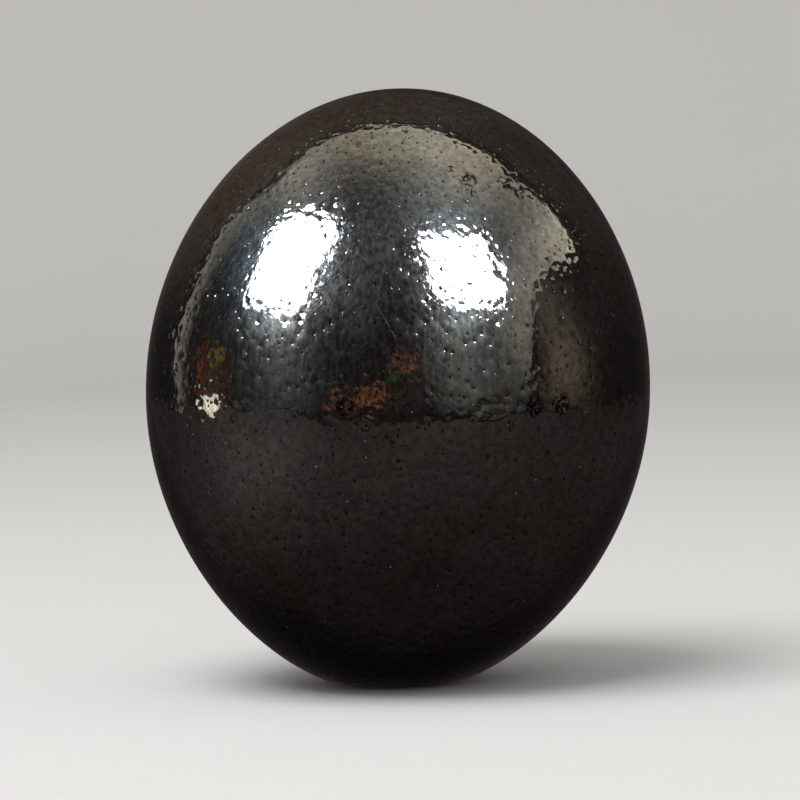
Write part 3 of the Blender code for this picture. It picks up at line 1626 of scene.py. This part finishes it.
# The light of the two highlights.
SOFTBOX: Colour = (5.0, 5.5, 6.2)

# The upper outline of the pale arch in the silver, from left to right.
ARCH_TOP: tuple[Pixel, ...] = (
    (267, 190), (299, 157), (333, 137), (365, 129), (400, 127), (434, 131), (460, 143), (484, 154),
    (500, 166), (514, 181), (530, 192), (545, 203), (557, 218), (567, 233), (573, 247), (567, 261),
)

# One card or more for each reflection in the silver, from the highlights to the small coloured marks.
CARDS: tuple[Card, ...] = (
    Card(
        name="left_softbox",
        first_edge=(
            (295, 214), (315, 213), (331, 219), (337, 230), (331, 248), (317, 268), (310, 292), (301, 308),
            (284, 314), (264, 306), (248, 297), (256, 270), (267, 244), (280, 223),
        ),
        second_edge=((292, 262),),
        colour=SOFTBOX,
        closed=True,
        spots=(Spot((290, 260), (24, 34), (12.0, 13.2, 14.6)),),
        sampled=True,
    ),
    Card(
        name="right_softbox",
        first_edge=(
            (419, 237), (450, 235), (480, 237), (489, 257), (503, 281), (503, 301), (474, 308), (445, 301),
            (433, 286), (429, 260),
        ),
        second_edge=((463, 268),),
        colour=SOFTBOX,
        closed=True,
        spots=(Spot((461, 266), (26, 24), SOFTBOX),),
        sampled=True,
    ),
    Card(
        name="arch_glow",
        first_edge=(
            (178, 407), (175, 366), (182, 320), (201, 272), (225, 225), *ARCH_TOP,
            (548, 272), (538, 286), (533, 320), (533, 360), (532, 407),
        ),
        second_edge=(
            (190, 405), (189, 368), (196, 326), (214, 286), (238, 254), (264, 226), (300, 204), (340, 206),
            (368, 206), (400, 206), (416, 212), (432, 218), (448, 222), (462, 226), (474, 230), (482, 234),
            (490, 242), (494, 252), (496, 260), (498, 268), (496, 278), (492, 290), (486, 302), (484, 330),
            (490, 360), (494, 405),
        ),
        colour=(0.106, 0.103, 0.091),
        fade=Fade.TO_SECOND,
        end_fade=(0.0, 0.10),
        spots=(
            Spot((448, 142), (80, 40), (0.262, 0.246, 0.190)),
            Spot((566, 236), (38, 42), (0.244, 0.229, 0.180)),
            Spot((366, 140), (30, 14), (0.050, 0.045, 0.030)),
            Spot((314, 142), (50, 34), (0.080, 0.077, 0.062)),
            Spot((178, 330), (22, 46), (0.045, 0.040, 0.032)),
            Spot((528, 350), (12, 60), (0.060, 0.058, 0.046)),
            Spot((526, 380), (15, 24), (0.080, 0.077, 0.064)),
            Spot((540, 306), (13, 24), (-0.080, -0.077, -0.066)),
        ),
        along=180,
        across=20,
    ),
    Card(
        name="arch_edge",
        first_edge=ARCH_TOP,
        second_edge=(
            (270, 194), (302, 161), (335, 141), (366, 133), (400, 131), (433, 136), (458, 148), (481, 159),
            (496, 171), (510, 186), (526, 197), (541, 208), (552, 222), (562, 236), (567, 247), (562, 256),
        ),
        colour=(0.160, 0.148, 0.120),
        fade=Fade.TO_SECOND,
        end_fade=(0.25, 0.05),
        spots=(Spot((566, 238), (30, 24), (0.120, 0.110, 0.084)),),
        along=140,
        across=5,
    ),
    Card(
        name="arch_left_edge",
        first_edge=(
            (175, 402), (174, 380), (175, 362), (178, 337), (184, 313), (192, 291), (203, 269), (212, 249),
            (224, 228), (236, 213), (250, 202), (267, 190),
        ),
        second_edge=(
            (179, 402), (178, 381), (179, 363), (182, 339), (188, 315), (196, 293), (206, 271), (215, 252),
            (227, 231), (239, 216), (252, 205), (269, 194),
        ),
        colour=(0.060, 0.056, 0.048),
        end_fade=(0.45, 0.10),
        along=120,
        across=3,
    ),
    Card(
        name="rim_glow",
        first_edge=(
            (172, 330), (195, 272), (223, 224), (264, 187), (298, 155), (333, 132), (366, 124), (400, 122),
            (434, 126), (486, 146), (530, 180), (566, 214), (584, 250), (592, 320), (606, 380),
        ),
        second_edge=(
            (153, 340), (166, 274), (196, 214), (240, 158), (286, 124), (330, 103), (366, 94), (402, 92),
            (440, 96), (500, 116), (548, 152), (592, 206), (620, 258), (636, 320), (646, 380),
        ),
        colour=(0.0165, 0.0124, 0.0104),
        end_fade=(0.10, 0.30),
        spots=(
            Spot((262, 168), (110, 84), (0.0250, 0.0166, 0.0108)),
            Spot((430, 112), (90, 24), (0.0120, 0.0086, 0.0068)),
        ),
        along=140,
        across=16,
    ),
    Card(
        name="upper_haze",
        first_edge=(
            (186, 404), (180, 360), (187, 318), (206, 272), (230, 227), (270, 193), (302, 161), (336, 142),
            (400, 133), (470, 153), (530, 200), (560, 232), (562, 258), (536, 290), (530, 340), (528, 404),
            (460, 410), (400, 414), (300, 410),
        ),
        second_edge=((390, 300),),
        colour=(0.002, 0.002, 0.002),
        closed=True,
        spots=(
            Spot((292, 177), (27, 32), (0.162, 0.155, 0.126)),
            Spot((244, 232), (34, 44), (0.006, 0.008, 0.010)),
            Spot((250, 276), (17, 38), (0.024, 0.046, 0.064)),
            Spot((263, 230), (14, 18), (0.048, 0.056, 0.062)),
            Spot((318, 196), (24, 14), (0.034, 0.036, 0.036)),
            Spot((340, 242), (11, 14), (0.078, 0.082, 0.086)),
            Spot((323, 284), (12, 26), (0.140, 0.149, 0.159)),
            Spot((378, 240), (50, 50), (0.042, 0.043, 0.043)),
            Spot((354, 298), (22, 36), (0.044, 0.045, 0.047)),
            Spot((418, 286), (9, 20), (0.104, 0.110, 0.117)),
            Spot((450, 190), (48, 34), (0.182, 0.182, 0.166)),
            Spot((456, 214), (42, 16), (0.014, 0.038, 0.058)),
            Spot((448, 226), (24, 9), (0.136, 0.150, 0.168)),
            Spot((506, 266), (8, 24), (0.040, 0.042, 0.044)),
            Spot((521, 280), (11, 15), (0.036, 0.036, 0.032)),
            Spot((530, 260), (44, 46), (0.106, 0.101, 0.083)),
            Spot((516, 346), (22, 60), (0.040, 0.040, 0.034)),
            Spot((279, 322), (21, 14), (0.340, 0.396, 0.442)),
            Spot((282, 350), (29, 50), (0.084, 0.096, 0.098)),
            Spot((462, 320), (27, 14), (0.230, 0.268, 0.294)),
            Spot((461, 348), (28, 46), (0.116, 0.124, 0.118)),
            Spot((476, 392), (34, 26), (0.022, 0.022, 0.018)),
        ),
        along=120,
        across=24,
    ),
    Card(
        name="lower_glow",
        first_edge=(
            (150, 398), (176, 405), (240, 406), (320, 418), (400, 424), (480, 417), (540, 410), (600, 407),
            (648, 395),
        ),
        second_edge=(
            (150, 399), (158, 450), (180, 520), (240, 606), (400, 672), (540, 620), (612, 520), (640, 450),
            (648, 396),
        ),
        colour=(0.0062, 0.0052, 0.0048),
        fade=Fade.TO_SECOND,
        fade_start=0.80,
        spots=(
            Spot((256, 452), (50, 72), (0.0310, 0.0300, 0.0296)),
            Spot((405, 440), (190, 110), (0.0142, 0.0112, 0.0104)),
            Spot((445, 424), (50, 30), (0.0110, 0.0090, 0.0076)),
        ),
        across=24,
    ),
    Card(
        name="brown_strip",
        first_edge=((533, 272), (533, 300), (537, 335), (540, 370), (544, 407)),
        second_edge=((618, 272), (612, 300), (614, 335), (614, 375), (606, 406)),
        colour=(0.001, 0.001, 0.001),
        spots=(
            Spot((563, 366), (16, 46), (0.088, 0.064, 0.043)),
            Spot((584, 372), (13, 40), (0.020, 0.016, 0.012)),
            Spot((548, 330), (14, 20), (0.026, 0.020, 0.015)),
            Spot((542, 298), (17, 24), (0.042, 0.040, 0.034)),
        ),
        end_fade=(0.16, 0.0),
        along=56,
    ),
    Card(
        name="bright_patch",
        first_edge=(
            (201, 395), (205, 395), (209, 400), (214, 394), (217, 399), (220, 404), (218, 411), (212, 415),
            (206, 411), (202, 404),
        ),
        second_edge=((212, 405),),
        colour=(0.95, 0.88, 0.76),
        closed=True,
        across=5,
    ),
    Card(
        name="russet_patch",
        first_edge=((196, 404), (188, 372), (196, 340), (212, 332), (232, 350), (236, 392), (222, 410)),
        second_edge=((212, 374),),
        colour=(0.026, 0.011, 0.006),
        closed=True,
        fade=Fade.FROM_SECOND,
        spots=(Spot((227, 391), (9, 9), (0.062, 0.032, 0.018)),),
    ),
    Card(
        name="red_line",
        first_edge=((206, 330), (201, 350), (198, 372), (197, 392)),
        second_edge=((209, 332), (204, 352), (201, 373), (200, 392)),
        colour=(0.105, 0.009, 0.0),
        end_fade=(0.3, 0.2),
    ),
    Card(
        name="copper_ring",
        first_edge=(
            (329, 399), (332, 393), (339, 391), (346, 396), (355, 398), (355, 402), (345, 404), (336, 407),
        ),
        second_edge=(
            (333, 399), (335, 396), (339, 395), (341, 398), (347, 400), (347, 401), (342, 401), (336, 403),
        ),
        colour=(0.130, 0.042, 0.016),
        closed=True,
        across=3,
    ),
    Card(
        name="copper_sail",
        first_edge=(
            (356, 394), (363, 389), (371, 387), (381, 382), (380, 390), (384, 396), (386, 402), (377, 400),
            (367, 404), (360, 401),
        ),
        second_edge=(
            (361, 397), (365, 393), (371, 391), (376, 389), (376, 392), (374, 396), (373, 398), (370, 398),
            (366, 400), (363, 399),
        ),
        colour=(0.140, 0.047, 0.020),
        closed=True,
        across=4,
    ),
    Card(
        name="copper_band",
        first_edge=(
            (391, 356), (396, 351), (403, 356), (411, 357), (417, 361), (417, 370), (407, 371), (393, 366),
        ),
        second_edge=((397, 361),),
        colour=(0.085, 0.028, 0.015),
        closed=True,
        across=5,
    ),
    Card(
        name="russet_haze",
        first_edge=(
            (322, 408), (346, 384), (392, 374), (398, 344), (424, 344), (428, 384), (410, 412), (350, 414),
        ),
        second_edge=((390, 390),),
        colour=(0.0, 0.0, 0.0),
        closed=True,
        spots=(
            Spot((352, 410), (10, 4), (0.030, 0.014, 0.005)),
            Spot((366, 398), (24, 8), (0.016, 0.006, 0.003)),
            Spot((400, 394), (14, 12), (0.012, 0.005, 0.003)),
            Spot((408, 364), (14, 10), (0.016, 0.006, 0.004)),
        ),
        along=64,
        across=16,
    ),
    Card(
        name="green_ring",
        first_edge=((387, 378), (390, 373), (395, 371), (400, 374), (401, 381), (395, 385)),
        second_edge=((390, 378), (392, 375), (395, 374), (398, 376), (398, 380), (395, 382)),
        colour=(0.006, 0.062, 0.012),
        closed=True,
        across=3,
    ),
    Card(
        name="yellow_mark",
        first_edge=((212, 347), (218, 344), (224, 349), (223, 358), (216, 362), (211, 356)),
        second_edge=((217, 353),),
        colour=(0.085, 0.064, 0.002),
        closed=True,
        across=5,
    ),
)


@dataclass(frozen=True)
class Surround:
    """The dim ball about the egg that closes in the reflections, warmer and lighter behind it."""

    radius: float = 2.0
    rows: int = 64
    columns: int = 97
    low: Colour = (0.0085, 0.0076, 0.0072)
    high: Colour = (0.0150, 0.0135, 0.0125)
    under: float = 0.30
    rise_heights: tuple[float, float] = (-0.1, 0.9)
    fall_depths: tuple[float, float] = (0.4, 1.0)
    back: Colour = (0.045, 0.041, 0.038)
    back_spread: float = radians(22.0)

    def build(self, egg: PlacedEgg, viewpoint: Viewpoint) -> bpy.types.Object:
        """Make the ball: angle about the view by angle from it, both in even steps.

        The light rises from the low colour to the high one between the rise heights, and falls to the
        share under of itself between the fall depths, all as shares of the radius. To that comes the
        back's colour times e to the power of minus the squared angle from straight behind the egg over the
        spread.

        Args:
            egg: the smooth egg.
            viewpoint: the camera.

        Returns:
            The ball's object.
        """
        right, up, ahead = viewpoint.axes()
        turn = np.repeat(np.arange(self.rows) * 2.0 * pi / self.rows, self.columns)
        tilt = np.tile(np.linspace(0.0, pi, self.columns), self.rows)
        out = right * np.cos(turn)[:, None] + up * np.sin(turn)[:, None]
        places = egg.centre + self.radius * (ahead * np.cos(tilt)[:, None] + out * np.sin(tilt)[:, None])
        height = (places - egg.centre)[:, 2:3] / self.radius
        rise = smoothstep(*self.rise_heights, height)
        fall = smoothstep(*self.fall_depths, -height)
        light = np.array(self.low) * (1.0 - rise) + np.array(self.high) * rise
        light = light * (1.0 - fall * (1.0 - self.under))
        light = light + np.exp(-((tilt / self.back_spread) ** 2))[:, None] * np.array(self.back)
        mesh = mesh_from("surround", places, grid_faces(self.rows, self.columns, True), smooth=False)
        return lit_piece("surround", mesh, light, sampled=False)


@dataclass(frozen=True)
class PaleCloth:
    """The plain matt finish of the floor."""

    colour: Colour = (0.80, 0.79, 0.775)
    darkest: float = 0.985
    clouds: Noise = Noise(3.0, 3.0, grade=Grade(0.3, 0.7))
    roughness: float = 0.9
    shine: float = 0.1

    def material(self) -> bpy.types.Material:
        """Build the finish: a pale colour that varies by a hair, in soft clouds.

        Returns:
            The material.
        """
        bench = NodeBench("pale_floor")
        shader = bench.node("BsdfPrincipled")
        shader.inputs["Roughness"].default_value = self.roughness
        shader.inputs["Specular IOR Level"].default_value = self.shine
        darker = tuple(self.darkest * part for part in self.colour)
        pale = bench.blend(bench.noise(self.clouds), darker, self.colour)
        bench.join(pale, shader.inputs["Base Color"])
        bench.join(shader.outputs["BSDF"], bench.output.inputs["Surface"])
        return bench.material


@dataclass
class Studio:
    """The pale floor that rises to a wall, the soft light over it and what the silver mirrors."""

    floor_radius: float = 2.3
    bend_radius: float = 0.6
    wall_height: float = 1.3
    floor_turns: int = 128
    floor_steps: int = 24
    floor_crowding: float = 1.5
    cloth: PaleCloth = field(default_factory=PaleCloth)
    surround: Surround = field(default_factory=Surround)
    key_place: Place = (-0.55, -0.55, 1.55)
    key_side: float = 1.1
    key_power: float = 19.0
    sky: Colour = (1.0, 0.99, 0.97)
    sky_strength: float = 0.50

    def floor(self) -> bpy.types.Object:
        """Turn a profile about the z axis: level, then a quarter circle, then straight up.

        The steps of the level stretch are crowded towards the middle, by a power of their share.

        Returns:
            The floor's object.
        """
        flat_end = self.floor_radius - self.bend_radius
        level = np.linspace(0.0, 1.0, self.floor_steps) ** self.floor_crowding * flat_end
        bend = np.linspace(0.0, 0.5 * pi, self.floor_steps)[1:]
        radius = np.concatenate([level, flat_end + self.bend_radius * np.sin(bend), [self.floor_radius]])
        rise = self.bend_radius * (1.0 - np.cos(bend))
        height = np.concatenate([np.zeros(self.floor_steps), rise, [self.wall_height]])
        turn = np.arange(self.floor_turns)[:, None] * 2.0 * pi / self.floor_turns
        places = np.stack([
            radius * np.cos(turn),
            radius * np.sin(turn),
            np.broadcast_to(height, (self.floor_turns, len(height))),
        ], axis=-1).reshape(-1, 3)
        mesh = mesh_from("floor", places, grid_faces(self.floor_turns, len(height), True))
        mesh.materials.append(self.cloth.material())
        made = add_object("floor", mesh)
        made.visible_glossy = False
        log.info("floor: %d faces", len(mesh.polygons))
        return made

    def key_light(self) -> bpy.types.Object:
        """Hang a large soft square light above the egg, to the left and in front, facing the origin.

        Returns:
            The light's object.
        """
        data = bpy.data.lights.new("key_light", "AREA")
        data.shape = "SQUARE"
        data.size = self.key_side
        data.energy = self.key_power
        light = add_object("key_light", data)
        light.location = self.key_place
        light.rotation_euler = (-Vector(self.key_place)).to_track_quat("-Z", "Y").to_euler()
        light.visible_glossy = False
        return light

    def sky_light(self) -> None:
        """Fill the studio with an even pale light that the silver doesn't mirror."""
        world = bpy.data.worlds.new("studio")
        world.use_nodes = True
        background = world.node_tree.nodes["Background"]
        background.inputs["Color"].default_value = (*self.sky, 1.0)
        background.inputs["Strength"].default_value = self.sky_strength
        world.cycles_visibility.glossy = False
        bpy.context.scene.world = world

    def build(self, egg: PlacedEgg, viewpoint: Viewpoint) -> None:
        """Set up the whole studio about the egg.

        Args:
            egg: the smooth egg.
            viewpoint: the camera.
        """
        self.floor()
        self.key_light()
        self.sky_light()
        self.surround.build(egg, viewpoint)
        for card in CARDS:
            card.build(egg, viewpoint)


def main() -> None:
    """Build the egg, the camera and the studio."""
    logging.basicConfig(level=logging.INFO, format="%(name)s: %(message)s")
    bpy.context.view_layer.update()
    shell = EggShell()
    egg = shell.egg()
    viewpoint = Viewpoint()
    viewpoint.build(egg)
    shell.build(egg, viewpoint)
    Studio().build(egg, viewpoint)
    bpy.context.scene.view_settings.view_transform = "Standard"
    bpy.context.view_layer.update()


if __name__ == "__main__":
    main()
